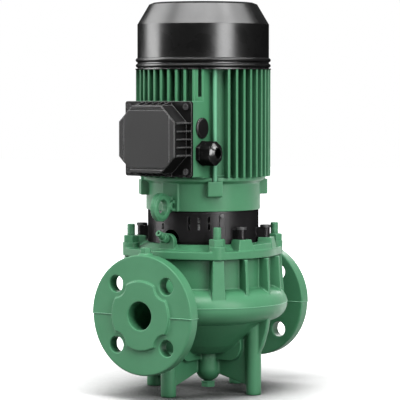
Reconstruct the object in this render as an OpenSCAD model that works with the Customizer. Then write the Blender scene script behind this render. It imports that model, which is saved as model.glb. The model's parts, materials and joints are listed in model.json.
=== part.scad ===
// In-line circulation pump with a fan-cooled motor on top, as separate working pieces.
// +Z is up along the shaft, the water flows along +Y, and the origin is on the floor
// under the shaft. Angles are counted from -Y, the suction side, towards +X, the cable side.

/* [Pipe flanges] */
// Height of the pipe centre line above the floor
flow_h = 100; // [98:1:104]
// Length over the two flange faces
face_to_face = 260; // [256:2:290]
// Outside diameter of each flange
flange_d = 140; // [134:1:150]
// Thickness of each flange rim
flange_t = 15; // [13:1:17]
// Diameter of the circle through the flange holes
flange_pcd = 100; // [97:1:106]
// Diameter of each hole in the suction flange
suction_hole_d = 19; // [18:0.5:20]
// Diameter of each hole in the discharge flange
discharge_hole_d = 18.5; // [18:0.5:20]
// Diameter of the raised sealing face
raised_face_d = 80; // [74:1:84]
// Height of the raised sealing face
raised_face_h = 3; // [2:0.5:4]
// Radius of the scallop cast round each flange hole
scallop_r = 16; // [14:0.5:17]
// Bore of the pipe passages
pipe_bore_d = 33; // [28:1:35]
// Width over the flats of the pressure tap plugs
tap_plug_af = 11; // [9:0.5:13]

/* [Pump housing] */
// Radius of the volute at its widest edge
volute_r = 101; // [99:0.5:104]
// Height of the widest edge of the volute
volute_h = 107.5; // [106:0.5:109]
// Radius of the shoulder over the parting line
shoulder_round = 24; // [22:0.5:26]
// Radius of the belly under the parting line
belly_round = 20; // [18:0.5:21]
// Radius of the suction bowl where it meets the belly
bowl_r = 86; // [84:0.5:88]
// Radius of the flat under the suction bowl
bowl_flat_r = 36; // [34:0.5:40]
// Height of the flat under the suction bowl
bowl_floor_h = 47; // [44:0.5:49]
// Radius of the drum wall over the volute
drum_r = 80; // [78:0.5:82]
// Height of the joint face under the casing cover
joint_h = 163; // [160:0.5:168]
// Thickness of the cover gasket
gasket_t = 0.6; // [0.5:0.1:1]
// Radius of the circle through the cover studs
stud_circle_r = 87; // [86:0.5:88]
// Diameter of the cover studs
stud_d = 9.6; // [8:0.2:10]
// Width of each stud column at its top
column_w = 13; // [12:0.5:15]
// Thickness of the stiffening ribs on the drum
rib_t = 4; // [3:0.2:5]
// Reach of the ribs from the shaft axis
rib_reach = 92; // [89:0.5:93]
// Ribs on each cable-side face of the drum
rib_count = 3; // [2:1:5]
// Thickness of the step at the mould parting line
parting_step = 0.5; // [0.3:0.1:0.8]

/* [Feet] */
// Radius of the circle through the foot posts
foot_circle_r = 72; // [70:1:76]
// Diameter of each foot post
foot_d = 18; // [16:1:20]
// Core diameter of the tapped foot holes
foot_hole_d = 8.5; // [6.5:0.5:9]
// Depth of the tapped foot holes
foot_hole_depth = 20; // [16:1:24]
// Thickness of the webs between feet and bowl
web_t = 8; // [6:0.5:10]
// Radius of the drain boss
drain_boss_r = 15; // [13:0.5:16]
// Width over the flats of the drain plug
drain_plug_af = 15; // [12:0.5:17]

/* [Casing cover] */
// Thickness of the cover flange
cover_flange_t = 9; // [8:0.5:10]
// Radius of the cover flange between its lobes
cover_r = 88; // [87:0.5:90]
// Radius of the rounded lobe round each stud
lobe_r = 10; // [9:0.5:11]
// Height of the hub over the joint face
cover_hub_h = 16; // [15:0.5:18]
// Radius of the hub
cover_hub_r = 72; // [71:0.5:73]
// Depth of the dish in the housing
dish_depth = 36; // [34:0.5:38]
// Radius of the dish where it centres in the housing
spigot_r = 71.8; // [71:0.2:72]
// Thickness of the dish wall
dish_wall = 7; // [6:0.5:9]
// Width over the flats of the cover nuts
nut_af = 16.5; // [15:0.5:17]
// Height of the cover nuts
nut_h = 8.3; // [7:0.1:9]
// Length of stud standing over each nut
stud_over = 13.4; // [8:0.2:16]
// Angle of the vent nipple over the horizon
vent_tilt = 28; // [20:1:35]
// Length of the vent nipple
vent_l = 24; // [20:1:26]
// Diameter of the vent nipple
vent_d = 6.4; // [6:0.2:7]

/* [Impeller and seal] */
// Diameter of the impeller
impeller_d = 128; // [110:1:132]
// Number of impeller blades
blade_count = 6; // [5:1:7]
// Thickness of the impeller blades
blade_t = 3; // [2:0.5:4]
// Diameter of the impeller eye
eye_d = 44; // [40:1:46]
// Diameter of the pump shaft in the impeller
pump_shaft_d = 16; // [14:1:18]
// Diameter of the sleeve that takes the motor shaft
sleeve_d = 34; // [30:1:38]
// Outside diameter of the seal seat
seal_seat_d = 34; // [32:1:38]

/* [Lantern] */
// Height of the lantern
lantern_h = 38.6; // [36:0.2:42]
// Outside radius of the lantern wall
lantern_r = 66; // [64:0.5:67]
// Thickness of the lantern wall
lantern_wall = 6; // [5:0.5:8]
// Thickness of the guard plates
guard_t = 1; // [0.8:0.1:1.2]
// Angle that each guard plate covers
guard_angle = 78; // [74:1:84]
// Radius of the circle through the lantern ears
ear_circle_r = 76; // [75:0.5:77]
// Radius of each lantern ear
ear_r = 5.4; // [5:0.2:6]

/* [Motor] */
// Height of the lower end shield
shield_h = 39.4; // [38:0.2:42]
// Outside radius of the lower end shield
shield_r = 67.9; // [67:0.1:69]
// Length of the finned motor frame
frame_l = 126; // [120:1:150]
// Radius over the cooling fins
fin_r = 80; // [78:0.5:82]
// Outside radius of the motor tube
tube_r = 68; // [67.5:0.5:70]
// Bore radius of the motor tube
tube_bore_r = 62; // [60:0.5:63]
// Thickness of the cooling fins
fin_t = 2.8; // [2:0.1:3.4]
// Angle between neighbouring fins
fin_pitch = 7.5; // [7:0.1:7.6]
// Radius of the circle through the tie rods
rod_circle_r = 72.6; // [72:0.2:72.8]
// Diameter of the tie rods
rod_d = 5.6; // [5:0.2:6]
// Length of the stator stack
stack_l = 74; // [60:1:80]
// Radius of the rotor
rotor_r = 36; // [32:0.5:38]
// Air gap between rotor and stator
air_gap = 0.5; // [0.4:0.1:0.8]
// Radius of the lifting eye hole
lifting_hole_r = 8.6; // [7.6:0.1:9]

/* [Bearings] */
// Bore of the lower bearing
low_bore = 25; // [23:1:26]
// Outside diameter of the lower bearing
low_od = 62; // [60:1:64]
// Width of the lower bearing
low_w = 17; // [16:0.5:18]
// Bore of the upper bearing
high_bore = 20; // [18:1:21]
// Outside diameter of the upper bearing
high_od = 47; // [45:1:49]
// Width of the upper bearing
high_w = 14; // [13:0.5:15]
// Number of balls in each bearing
ball_count = 8; // [6:1:8]

/* [Terminal box] */
// Width of the terminal box base
box_w = 90; // [86:1:94]
// Height of the terminal box base
box_h = 87; // [84:1:90]
// Distance from the shaft axis to the front of the base
box_y = 88; // [86:0.5:90]
// Wall of the terminal box base
box_wall = 6; // [5:0.5:7]
// Height of the base over the end of the motor frame
box_rise = 2; // [1:0.5:4]
// Thickness of the lid gasket
lid_gasket_t = 0.8; // [0.6:0.1:1.2]
// Width of the lid rim
lid_w = 93.6; // [90:0.2:96]
// Depth of the lid rim
lid_rim_t = 3.6; // [3:0.2:5]
// Depth of the whole lid
lid_depth = 27.2; // [24:0.2:30]
// Width of the raised octagon of the lid
lid_face_w = 79; // [76:1:80]
// Corner cut of the raised octagon
lid_corner = 19; // [17:0.5:21]
// Stiffening ribs on each side of the lid
lid_rib_count = 5; // [3:1:7]
// Travel of the lid as it is lifted off
lid_travel = 60; // [40:5:80]
// Diameter of the cable gland hole
gland_hole_d = 20; // [18:0.5:21]
// Width over the flats of the gland nut
gland_af = 25; // [24:0.5:27]
// Length of the gland nut
gland_nut_l = 17; // [14:0.5:19]
// Cable bore of the gland
cable_bore_d = 11; // [8:0.5:12]
// Diameter of the blanking plug
plug_d = 24; // [22:0.5:25]

/* [Fan] */
// Height of the fan cover
fan_cover_h = 79; // [76:1:84]
// Outside radius of the fan cover
fan_cover_r = 78.2; // [77.5:0.1:79]
// Wall of the fan cover
fan_cover_wall = 1.8; // [1.4:0.1:2.4]
// Radius of the fan
fan_r = 60; // [52:1:62]
// Number of fan blades
fan_blades = 8; // [6:1:10]

/* [Fits] */
// Radial clearance of screwed and pushed-in pieces
seat_fit = 0.05; // [0.04:0.01:0.08]
// Radial clearance of turning shafts and pins
running_fit = 0.06; // [0.05:0.01:0.09]
// Clearance between curved faces that pass each other
curve_gap = 0.3; // [0.3:0.05:0.4]

/* [Hidden] */
$fn = 72;
housing_top = joint_h - gasket_t;
cover_top = joint_h + cover_flange_t;
lantern_z = joint_h + cover_hub_h;
shield_z = lantern_z + lantern_h;
frame_z = shield_z + shield_h;
frame_top = frame_z + frame_l;
dish_floor = joint_h - dish_depth;
nut_z = joint_h + cover_hub_h - 0.3;
stud_top = nut_z + nut_h + stud_over;
stud_bottom = volute_h + 30;

// Water passages
pipe_bore_r = pipe_bore_d / 2;
straight_l = 18;
knuckle = 0.8;
shoulder_drop = 4;
chamber_floor = volute_h - 4.5;
suction_low = flow_h - 28;
suction_in = [0, -face_to_face / 2 + straight_l, flow_h];
suction_knee = [0, -66, suction_low + 2];
suction_end = [0, 0, suction_low];
discharge_in = [0, 68, volute_h + 3];
discharge_out = [0, face_to_face / 2 - straight_l, flow_h];
chamber_round = 15;
chamber_r = volute_r - 31;
chamber_shift = 6;
neck_r = pipe_bore_r + 15;
neck_wall = 7;
tap_y = face_to_face / 2 - raised_face_h - flange_t / 2 - 2.5;
tap_boss_top = flow_h + flange_d / 2 + 2;
tap_hole_r = 4;
tap_plug_h = 6;

// Thick root of the webs under the bowl
web_root_t = 20;
web_root_r = 60;
web_root_z = 39;
web_root_round = 18;

// Drain boss
drain_x = 10;
drain_y = -4;
drain_ball_z = 12 + drain_boss_r;
drain_hole_r = 5;
drain_face_z = 12.6;
drain_head_h = 7;

// Impeller and shaft
impeller_r = impeller_d / 2;
eye_r = eye_d / 2;
neck_ring_r = eye_r + 4.7;
wear_ring_r = neck_ring_r + curve_gap;
wear_seat_r = wear_ring_r + 3;
impeller_floor = chamber_floor - 5;
shroud_z = chamber_floor + 3;
back_z = shroud_z + 13;
back_t = 3;
impeller_top = dish_floor + 4;
impeller_hub_r = 14;
shaft_r = pump_shaft_d / 2;
seal_shaft_r = 11;
seat_z = dish_floor + 23;
seat_t = 8;
seal_face_t = 5;
seal_boss_r = seal_seat_d / 2 + 7;
sleeve_z = lantern_z + 3;
sleeve_top = shield_z - 2;
motor_end_d = 19;
motor_end_z = sleeve_z + 8;
clamp_z = sleeve_top - 12;

// Bearings
low_z = shield_z + 10;
high_z = frame_top - 4;

// Motor inside
stack_z = frame_z + (frame_l - stack_l) / 2 - 5;
stack_top = stack_z + stack_l;
winding_h = 14;
ring_h = 6;
rear_t = 9;
rear_r = fan_cover_r - fan_cover_wall - curve_gap;
fan_z = frame_top + 20;
fan_hub_h = 24;
fan_bore_r = 8;
fan_hub_r = 15;
fan_clip_z = fan_z + fan_hub_h + 0.1;
fan_clip_t = 1.2;
shaft_top = fan_clip_z + fan_clip_t + 3;

// Terminal box
box_z = frame_z + box_rise;
box_mid = box_z + box_h / 2;
lid_y = box_y + lid_gasket_t;
lid_wall = 2.4;
gland_y = 69;
gland_z = box_mid - 16.5;
plug_z = box_mid + 12.5;
lid_screw_x = lid_w / 2 - 6.8;
lid_screw_z = box_h / 2 - 6.3;
lid_screw_r = 2;
board_w = box_w - 18;
board_h = box_h - 45;
board_t = 5;
board_screw_x = board_w / 2 - 6;

// Lantern ears and lugs
ear_angles = [70, 110, 250, 290];
lug_top = joint_h + 22;
ear_h = 11.5;
ear_head_r = 6.3;
ear_screw_r = 3;
saddle_drop = 6.3;
vent_base = [0, -cover_hub_r + 1, cover_top + 10];
vent_bore_r = vent_d / 2 + running_fit;
lug_w = 17.4;
lug_pad_w = 22;
lug_h = 18;
lug_z = frame_z - 4 - lug_h;
// The rods screw into blind holes, so nothing shows under the lugs
rod_z = lug_z + 4;

paint = [0.25, 0.5, 0.37];
black = [0.12, 0.12, 0.13];
steel = [0.72, 0.73, 0.74];
rubber = [0.07, 0.07, 0.07];
bronze = [0.7, 0.5, 0.28];
copper = [0.72, 0.42, 0.22];

// Shared helpers

// Sets children at one angle and radius, with -Y of the child turned outward
module at_angle(angle, radius) {
    rotate([0, 0, angle]) translate([0, -radius, 0]) children();
}

// Repeats children at the four diagonal places
module at_diagonals(radius) {
    for (angle = [45:90:315]) at_angle(angle, radius) children();
}

// Puts local +Z outward along the pipe, with local 0 on the flange face
module flange_frame(side) {
    translate([0, side * face_to_face / 2, flow_h]) rotate([-90 * side, 0, 0]) children();
}

// Flat ring standing on z
module ring(outer_r, inner_r, height, z = 0) {
    translate([0, 0, z]) difference() {
        cylinder(r = outer_r, h = height);
        translate([0, 0, -1]) cylinder(r = inner_r, h = height + 2);
    }
}

// Hexagon prism by its width over the flats
module hexagon(af, height) {
    cylinder(d = af / cos(30), h = height, $fn = 6);
}

// Hexagon whose corners are turned off at 30 degrees at its outer end
module chamfered_hexagon(af, height) {
    corner = af / cos(30) / 2;
    intersection() {
        hexagon(af, height);
        rotate_extrude() polygon([[0, 0], [corner, 0], [corner, height - (corner - af / 2 + 0.5) * tan(30)],
            [af / 2 - 0.5, height], [0, height]]);
    }
}

// Straight round bar from one point to another
module bar(from, to, radius) {
    step = to - from;
    length = norm(step);
    translate(from) rotate([0, acos(step[2] / length), atan2(step[1], step[0])])
        cylinder(r = radius, h = length);
}

// Round body with one round lobe, joined by its tangents
module lobed(body_radius, lobe_radius, distance) {
    lean = acos((body_radius - lobe_radius) / distance);
    normal = [sin(lean), -cos(lean)];
    mirrored = [-sin(lean), -cos(lean)];
    centre = [0, -distance];
    circle(r = body_radius);
    translate(centre) circle(r = lobe_radius);
    polygon([body_radius * normal, centre + lobe_radius * normal,
        centre + lobe_radius * mirrored, body_radius * mirrored]);
}

// Plate of the given thickness across x, with its outline drawn outward and up
module radial_plate(thickness, outline) {
    rotate([90, 0, -90]) translate([0, 0, -thickness / 2]) linear_extrude(thickness)
        polygon(outline);
}

// Pump housing

// Section of a flange rim with chamfered edges
module rim_section(outer_r, thickness) {
    edge = 1;
    polygon([[0, 0], [outer_r - edge, 0], [outer_r, -edge], [outer_r, edge - thickness],
        [outer_r - edge, -thickness], [0, -thickness]]);
}

// One pipe flange; its upper half stands proud at the parting line
module flange_rim(side) {
    half = flange_d;
    flange_frame(side) translate([0, 0, -raised_face_h]) {
        translate([0, 0, -parting_step]) rotate_extrude()
            rim_section(flange_d / 2 - parting_step, flange_t - parting_step);
        intersection() {
            rotate_extrude() rim_section(flange_d / 2, flange_t);
            translate([-half, side < 0 ? 0 : -half, -half]) cube([2 * half, half, 2 * half]);
        }
    }
}

// Raised sealing face with a scallop at each flange hole
module sealing_face(side) {
    flange_frame(side) translate([0, 0, -raised_face_h - 1]) linear_extrude(raised_face_h + 1)
        difference() {
            circle(d = raised_face_d);
            for (angle = [45:90:315]) rotate([0, 0, angle])
                translate([0, flange_pcd / 2]) circle(r = scallop_r);
        }
}

// Drilled holes of one flange, chamfered in front
module flange_holes(side) {
    depth = flange_t + raised_face_h + 2;
    chamfer = 1;
    hole_d = side < 0 ? suction_hole_d : discharge_hole_d;
    flange_frame(side) for (angle = [45:90:315]) rotate([0, 0, angle])
        translate([0, flange_pcd / 2, 0]) {
            translate([0, 0, -depth]) cylinder(d = hole_d, h = depth + 1);
            translate([0, 0, -raised_face_h - chamfer])
                cylinder(d1 = hole_d, d2 = hole_d + 4 * chamfer, h = 2 * chamfer);
        }
}

// Outer section of the volute, drum and bowl, turned about the shaft
module shell_section() {
    shoulder_in = volute_r - sqrt(shoulder_round * shoulder_round - shoulder_drop * shoulder_drop);
    belly_in = volute_r - parting_step - belly_round;
    difference() {
        union() {
            intersection() {
                translate([shoulder_in, volute_h - shoulder_drop]) circle(r = shoulder_round);
                translate([0, volute_h]) square([2 * volute_r, shoulder_round]);
            }
            translate([0, volute_h]) square([shoulder_in, shoulder_round - shoulder_drop - 0.5]);
            translate([0, volute_h]) square([drum_r, housing_top - volute_h]);
            intersection() {
                translate([belly_in, volute_h - 1]) circle(r = belly_round);
                translate([0, bowl_floor_h]) square([2 * volute_r, volute_h - bowl_floor_h]);
            }
            polygon([[0, bowl_floor_h], [bowl_flat_r, bowl_floor_h], [bowl_flat_r + 5.5, bowl_floor_h + 2.6],
                [bowl_flat_r + 16, bowl_floor_h + 10.6], [bowl_r - 21, bowl_floor_h + 23],
                [bowl_r - 5, bowl_floor_h + 38], [bowl_r, bowl_floor_h + 45], [bowl_r, volute_h],
                [0, volute_h]]);
        }
        translate([-2 * volute_r, 0]) square([2 * volute_r, 2 * joint_h]);
    }
}

// Tapered column that takes one cover stud
module stud_column() {
    low = volute_h + 8;
    flare = 3;
    outer = stud_circle_r + column_w / 2 + 1;
    intersection() {
        radial_plate(2 * column_w, [[drum_r - 6, low], [outer + flare, low],
            [outer, housing_top], [drum_r - 6, housing_top]]);
        rotate([90, 0, 0]) linear_extrude(2 * volute_r) polygon([[-column_w / 2 - flare / 2, low],
            [column_w / 2 + flare / 2, low], [column_w / 2, housing_top],
            [-column_w / 2, housing_top]]);
    }
}

// Vertical ribs on one cable-side face of the drum
module drum_ribs() {
    pitch = 90 / (rib_count + 1);
    for (i = [1:rib_count]) rotate([0, 0, pitch * i - 45])
        radial_plate(rib_t, [[drum_r - 6, volute_h + 6], [rib_reach + 3, volute_h + 6],
            [rib_reach, housing_top], [drum_r - 6, housing_top]]);
}

// Foot post with the webs that tie it to the bowl and volute
module foot(outer_web) {
    web_low = 9;
    web_in = 27;
    at_angle(0, foot_circle_r) cylinder(d = foot_d, h = volute_h - 12);
    radial_plate(web_t, [[0, web_in], [drain_boss_r, web_in - 3], [foot_circle_r, web_low],
        [foot_circle_r, volute_h - 30], [0, volute_h - 30]]);
    if (outer_web) radial_plate(web_t - 1, [[foot_circle_r, 46], [foot_circle_r + foot_d / 2, 50],
        [foot_circle_r + foot_d / 2 + 5, 60], [foot_circle_r + foot_d / 2 + 10.5, 78],
        [volute_r - 7, volute_h - 14], [volute_r - 7, volute_h - 8], [foot_circle_r, volute_h - 8]]);
    rotate([90, 0, -90]) translate([0, 0, -web_root_t / 2]) linear_extrude(web_root_t) {
        translate([web_root_r - web_root_round, web_root_z + web_root_round]) circle(r = web_root_round);
        translate([0, web_root_z]) square([web_root_r - web_root_round, web_root_round]);
        translate([0, web_root_z + web_root_round]) square([web_root_r, 10]);
    }
}

// Neck that leads one pipe flange into the body
module pipe_neck(side) {
    run = face_to_face / 2 - drum_r + 10;
    flange_frame(side) translate([0, 0, -run]) {
        cylinder(r1 = neck_r + 8, r2 = neck_r, h = run - raised_face_h - flange_t / 2);
        translate([0, 0, run - raised_face_h - flange_t - 5])
            cylinder(r1 = neck_r, r2 = neck_r + 5, h = 6);
    }
}

// Casting before the passages are cored out
module housing_outside() {
    rotate_extrude() shell_section();
    at_diagonals(0) stud_column();
    for (angle = [90, 270]) rotate([0, 0, angle]) drum_ribs();
    for (angle = [0:90:270]) rotate([0, 0, angle]) foot(angle == 90 || angle == 270);
    translate([drain_x, drain_y, drain_ball_z]) {
        sphere(r = drain_boss_r);
        cylinder(r = drain_boss_r, h = bowl_floor_h - drain_ball_z);
    }
    bar(suction_in, suction_knee, pipe_bore_r + neck_wall);
    bar(suction_knee, suction_end, pipe_bore_r + neck_wall);
    translate(suction_knee) sphere(r = pipe_bore_r + neck_wall + knuckle);
    for (side = [-1, 1]) {
        pipe_neck(side);
        flange_rim(side);
        sealing_face(side);
        translate([0, side * tap_y, flow_h]) cylinder(r = 8, h = tap_boss_top - flow_h);
    }
}

// Water passages: suction bend, eye, volute chamber and discharge
module housing_passages() {
    for (side = [-1, 1]) flange_frame(side) translate([0, 0, -straight_l])
        cylinder(r = pipe_bore_r, h = straight_l + 1);
    bar(suction_in, suction_knee, pipe_bore_r);
    bar(suction_knee, suction_end, pipe_bore_r);
    bar(discharge_in, discharge_out, pipe_bore_r - 1.5);
    for (place = [suction_in, suction_knee, suction_end, discharge_out])
        translate(place) sphere(r = pipe_bore_r + knuckle);
    translate([0, 0, suction_low]) cylinder(r = eye_r, h = volute_h - suction_low);
    translate([0, 0, impeller_floor - 1]) cylinder(r = wear_seat_r, h = 10);
    translate([0, chamber_shift, 0]) rotate_extrude() {
        translate([chamber_r, volute_h + 5.5]) circle(r = chamber_round);
        translate([0, chamber_floor]) square([chamber_r, 20]);
    }
    translate([0, 0, volute_h]) cylinder(r = spigot_r + seat_fit, h = joint_h);
}

module pump_housing() {
    color(paint) difference() {
        housing_outside();
        housing_passages();
        for (side = [-1, 1]) {
            flange_holes(side);
            translate([0, side * tap_y, flow_h]) cylinder(r = tap_hole_r, h = flange_d);
        }
        at_diagonals(stud_circle_r) translate([0, 0, stud_bottom])
            cylinder(d = stud_d + 2 * seat_fit, h = joint_h);
        for (angle = [0:90:270]) at_angle(angle, foot_circle_r) translate([0, 0, -1])
            cylinder(d = foot_hole_d, h = foot_hole_depth + 1);
        translate([drain_x, drain_y, 0]) cylinder(r = drain_hole_r, h = suction_low);
        translate([drain_x, drain_y, 0]) cylinder(r = drain_boss_r, h = drain_face_z);
    }
}

module drain_plug() {
    color(paint) translate([drain_x, drain_y, drain_face_z]) {
        translate([0, 0, -drain_head_h]) hexagon(drain_plug_af, drain_head_h - 1.4);
        translate([0, 0, -1.4]) cylinder(d = drain_plug_af + 2, h = 1.4);
        cylinder(r = drain_hole_r - seat_fit, h = 12);
    }
}

module tap_plugs() {
    color(paint) for (side = [-1, 1]) translate([0, side * tap_y, tap_boss_top]) {
        translate([0, 0, -10]) cylinder(r = tap_hole_r - seat_fit, h = 10);
        hexagon(tap_plug_af, tap_plug_h);
    }
}

module wear_ring() {
    color(bronze) ring(wear_seat_r - seat_fit, wear_ring_r, chamber_floor - impeller_floor + 1,
        impeller_floor - 1);
}

module cover_gasket() {
    color(rubber) ring(drum_r - 0.5, spigot_r + seat_fit, gasket_t, housing_top);
}

// Casing cover

// Block that carries one lantern ear
module ear_block() {
    outer = cover_r - 0.6;
    intersection() {
        radial_plate(30, [[cover_hub_r - 12, cover_top - 1], [outer, cover_top - 1],
            [outer - 2.5, lug_top], [ear_circle_r - ear_r, lug_top], [cover_hub_r - 12, lantern_z]]);
        rotate([90, 0, 0]) linear_extrude(2 * cover_r) polygon([[-12, cover_top - 1],
            [12, cover_top - 1], [8.4, lug_top], [-8.4, lug_top]]);
    }
}

// Low saddle between two neighbouring ear blocks, flush with the cover rim
module ear_saddle() {
    outer = cover_r - 0.6;
    half = (ear_angles[1] - ear_angles[0]) / 2;
    reach = 2 * cover_r;
    intersection() {
        rotate_extrude() polygon([[cover_hub_r - 3, cover_top - 1], [outer, cover_top - 1],
            [outer - 1.2, lug_top - saddle_drop], [cover_hub_r - 3, lug_top - saddle_drop]]);
        linear_extrude(lug_top) polygon([[0, 0], reach * [-sin(half), -cos(half)],
            reach * [0, -1], reach * [sin(half), -cos(half)]]);
    }
}

// Turns children to the tilt of the vent nipple
module vent_frame() {
    translate(vent_base) rotate([90 - vent_tilt, 0, 0]) children();
}

// Half-round boss that takes the vent nipple
module vent_boss() {
    width = 20;
    translate([0, vent_base[1] + 7, cover_top - 1]) rotate([90, 0, 0]) linear_extrude(11) {
        translate([0, 11]) circle(d = width);
        translate([-width / 2, 0]) square([width, 11]);
    }
}

// Dish with its flange, hub and seal boss, as one turned section
module dish_section() {
    wall = spigot_r - dish_wall;
    polygon([[seal_boss_r, dish_floor + dish_wall + 1], [wall, dish_floor + dish_wall + 4],
        [wall, lantern_z], [cover_hub_r - 5, lantern_z], [cover_hub_r + 6, cover_top],
        [cover_r - 4, cover_top], [cover_r - 4, joint_h], [spigot_r, joint_h],
        [spigot_r, dish_floor + 2], [spigot_r - 2, dish_floor], [seal_boss_r - 12, dish_floor],
        [seal_boss_r - 12, seat_z + seat_t + 4], [seal_boss_r, seat_z + seat_t + 4]]);
}

module cover_outside() {
    rotate_extrude() dish_section();
    translate([0, 0, joint_h]) linear_extrude(cover_flange_t) difference() {
        for (angle = [45:90:315]) rotate([0, 0, angle]) lobed(cover_r, lobe_r, stud_circle_r);
        circle(r = cover_hub_r - 2);
    }
    at_diagonals(stud_circle_r) translate([0, 0, joint_h])
        cylinder(r = lobe_r, h = nut_z - joint_h);
    for (angle = ear_angles) rotate([0, 0, angle]) ear_block();
    for (angle = [90, 270]) rotate([0, 0, angle]) ear_saddle();
    difference() {
        vent_boss();
        cylinder(r = cover_hub_r - 7, h = 2 * joint_h);
    }
}

module casing_cover() {
    color(paint) difference() {
        cover_outside();
        translate([0, 0, dish_floor - 1]) cylinder(r = seal_seat_d / 2 - 2, h = joint_h);
        translate([0, 0, dish_floor - 1]) cylinder(r = seal_boss_r - 5, h = seat_z - dish_floor - 1);
        translate([0, 0, seat_z - 3]) cylinder(d = seal_seat_d + 2 * seat_fit, h = seat_t + 3);
        at_diagonals(stud_circle_r) translate([0, 0, joint_h - 1])
            cylinder(d = stud_d + 1, h = cover_hub_h + 2);
        for (angle = ear_angles) at_angle(angle, ear_circle_r) translate([0, 0, cover_top - 4])
            cylinder(r = ear_screw_r + seat_fit, h = 40);
        vent_frame() translate([0, 0, -12]) cylinder(r = vent_bore_r, h = 60);
        translate([0, 0, lantern_z]) cylinder(r = lantern_r + guard_t + 2, h = 30);
    }
}

module cover_studs() {
    chamfer = 1;
    color(paint) at_diagonals(stud_circle_r) translate([0, 0, stud_bottom]) {
        cylinder(d = stud_d, h = stud_top - stud_bottom - chamfer);
        translate([0, 0, stud_top - stud_bottom - chamfer])
            cylinder(d1 = stud_d, d2 = stud_d - 2 * chamfer, h = chamfer);
    }
}

module cover_nuts() {
    color(paint) at_diagonals(stud_circle_r) translate([0, 0, nut_z]) difference() {
        chamfered_hexagon(nut_af, nut_h);
        translate([0, 0, -1]) cylinder(d = stud_d + 2 * seat_fit, h = nut_h + 2);
    }
}

// Bleed nipple that is turned to let air out
module vent_nipple() {
    color(paint) vent_frame() difference() {
        union() {
            translate([0, 0, -8]) cylinder(d = vent_d, h = vent_l + 8);
            translate([0, 0, 8]) hexagon(vent_d + 4.2, 5.5);
            translate([0, 0, 8]) cylinder(d = vent_d + 1.8, h = vent_l - 12.5);
            translate([0, 0, vent_l - 2.5]) cylinder(d = vent_d + 0.8, h = 2.5);
        }
        translate([0, 0, 2]) cylinder(d = vent_d / 2, h = vent_l);
    }
}

// Turning pump pieces

// One backward-curved blade as the lune between two circles
module impeller_blade() {
    reach = impeller_r;
    bow = reach * 0.62;
    intersection() {
        difference() {
            translate([bow, -reach * 0.3]) circle(r = bow);
            translate([bow, -reach * 0.3]) circle(r = bow - blade_t);
        }
        difference() {
            circle(r = reach);
            circle(r = impeller_hub_r + 2);
        }
        translate([-reach, -reach]) square([reach * 1.15, reach * 1.1]);
    }
}

module impeller() {
    color(bronze) difference() {
        union() {
            rotate_extrude() {
                polygon([[eye_r, impeller_floor], [neck_ring_r, impeller_floor],
                    [neck_ring_r, chamber_floor + 1], [impeller_r, shroud_z + 1],
                    [impeller_r, shroud_z + 3.4], [neck_ring_r + 2, shroud_z + 2],
                    [eye_r, chamber_floor + 1]]);
                translate([0, back_z]) square([impeller_r, back_t]);
                polygon([[0, shroud_z - 1], [impeller_hub_r - 4, shroud_z - 1],
                    [impeller_hub_r, back_z + 1], [impeller_hub_r, impeller_top],
                    [0, impeller_top]]);
            }
            translate([0, 0, shroud_z + 1.5]) linear_extrude(back_z - shroud_z)
                for (i = [0:blade_count - 1]) rotate([0, 0, 360 / blade_count * i])
                    impeller_blade();
        }
        translate([0, 0, impeller_floor]) cylinder(r = shaft_r + seat_fit, h = joint_h);
    }
}

module impeller_nut() {
    color(steel) translate([0, 0, shroud_z - 1 - 8]) difference() {
        hexagon(16, 8);
        translate([0, 0, -1]) cylinder(r = 6 + seat_fit, h = 10);
    }
}

module pump_shaft() {
    color(steel) difference() {
        union() {
            translate([0, 0, shroud_z - 11]) cylinder(r = 6, h = 11);
            translate([0, 0, shroud_z - 1]) cylinder(r = shaft_r, h = impeller_top - shroud_z + 1);
            translate([0, 0, impeller_top]) cylinder(r = seal_shaft_r, h = sleeve_z - impeller_top);
            translate([0, 0, sleeve_z]) cylinder(d = sleeve_d, h = sleeve_top - sleeve_z);
        }
        translate([0, 0, motor_end_z - 1]) cylinder(d = motor_end_d + 2 * seat_fit, h = joint_h);
        for (angle = [0, 90]) rotate([0, 0, angle]) translate([0, 0, clamp_z]) rotate([90, 0, 0])
            cylinder(r = 3 + seat_fit, h = sleeve_d);
    }
}

module shaft_clamp_screws() {
    length = sleeve_d / 2 - motor_end_d / 2 - 1;
    color(steel) for (angle = [0, 90]) rotate([0, 0, angle])
        translate([0, -motor_end_d / 2 - 0.2, clamp_z]) rotate([90, 0, 0]) difference() {
            cylinder(r = 3, h = length);
            translate([0, 0, length - 2.5]) hexagon(3, 4);
        }
}

module seal_seat() {
    color([0.85, 0.84, 0.8]) ring(seal_seat_d / 2, seal_shaft_r + 1.2, seat_t, seat_z);
}

module seal_face() {
    color([0.16, 0.16, 0.17]) ring(seal_seat_d / 2 - 3, seal_shaft_r + running_fit, seal_face_t,
        seat_z - seal_face_t);
}

// Points of one ring of the spring wire
function wire_ring(coil_r, wire_r, turn, height, sides) =
    [for (i = [0:sides - 1]) [cos(turn) * (coil_r + wire_r * cos(360 / sides * i)),
        sin(turn) * (coil_r + wire_r * cos(360 / sides * i)),
        height + wire_r * sin(360 / sides * i)]];

// Coil spring swept as one solid
module coil_spring(coil_r, wire_r, length, turns) {
    sides = 8;
    steps = 12 * turns;
    points = [for (k = [0:steps]) each wire_ring(coil_r, wire_r, 30 * k,
        wire_r + (length - 2 * wire_r) * k / steps, sides)];
    walls = [for (k = [0:steps - 1], i = [0:sides - 1]) [k * sides + i,
        (k + 1) * sides + i, (k + 1) * sides + (i + 1) % sides, k * sides + (i + 1) % sides]];
    first = [for (i = [0:sides - 1]) i];
    last = [for (i = [0:sides - 1]) steps * sides + sides - 1 - i];
    polyhedron(points, concat([first], walls, [last]));
}

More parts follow.
